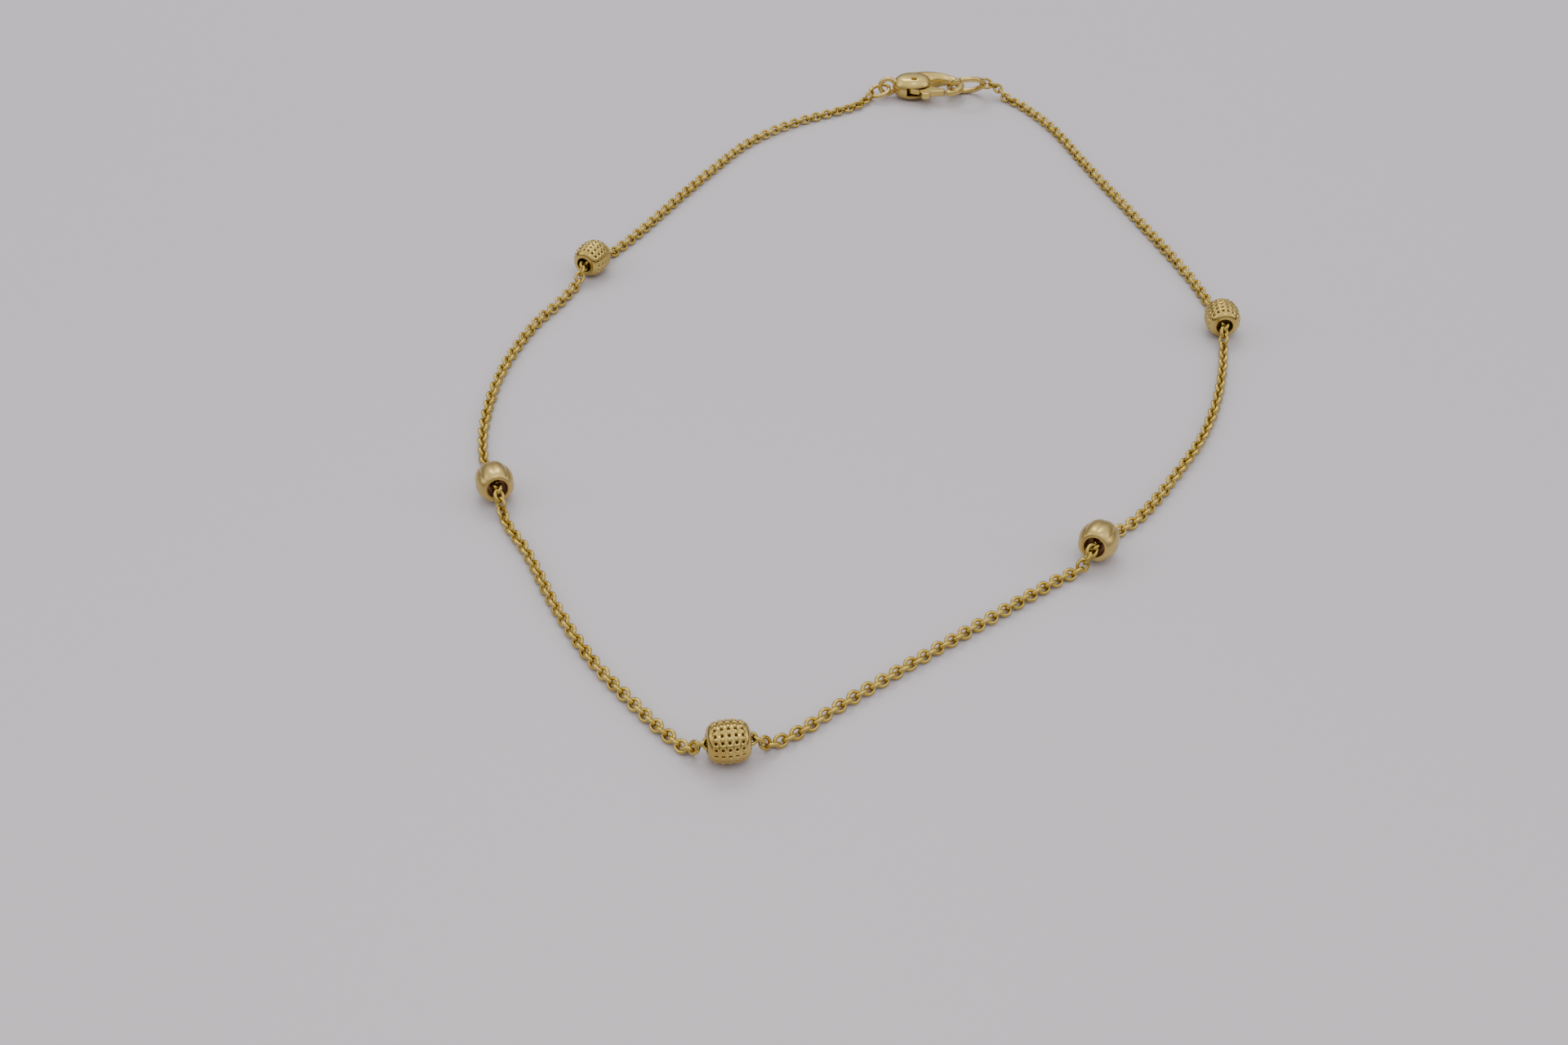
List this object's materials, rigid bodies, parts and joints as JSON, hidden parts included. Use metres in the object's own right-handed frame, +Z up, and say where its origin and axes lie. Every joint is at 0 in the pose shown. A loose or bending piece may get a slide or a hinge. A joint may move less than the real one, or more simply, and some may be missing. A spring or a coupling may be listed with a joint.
{
  "type": "chain anklet",
  "caption": "Fine cable chain anklet with grained drum beads and fluted round beads, closed by a claw clasp with a sprung lever.",
  "frame": {"origin": "middle of the loop's box, on the surface that the anklet lies on", "axes": "+Z up from the surface, +Y from the front bead towards the clasp, +X to the right as seen from the front bead"},
  "size_m": [0.0687, 0.1094, 0.0033],
  "materials": {
    "chain_gold": "polished yellow gold wire",
    "grained_gold": "yellow gold with raised grains, darker in the pits",
    "polished_gold": "high polish yellow gold",
    "clasp_gold": "polished cast yellow gold"
  },
  "bodies": {
    "anklet": {"chain_left": "chain_gold", "chain_right": "chain_gold", "bead_front": "grained_gold", "bead_back_left": "grained_gold", "bead_back_right": "grained_gold", "bead_left": "polished_gold", "bead_right": "polished_gold", "clasp_body": "clasp_gold", "clasp_pin": "clasp_gold", "jump_ring": "clasp_gold", "end_ring": "clasp_gold"},
    "lever": {"clasp_lever": "clasp_gold"}
  },
  "joints": [
    {"name": "clasp_lever_hinge", "type": "hinge", "parent": "anklet", "child": "lever", "pos_m": [0.00667, 0.0516, 0.0013], "axis": [0, 0, 1], "range_deg": [0, 25], "stiffness_Nm_per_rad": 0.002, "springref_deg": -17.19}
  ]
}
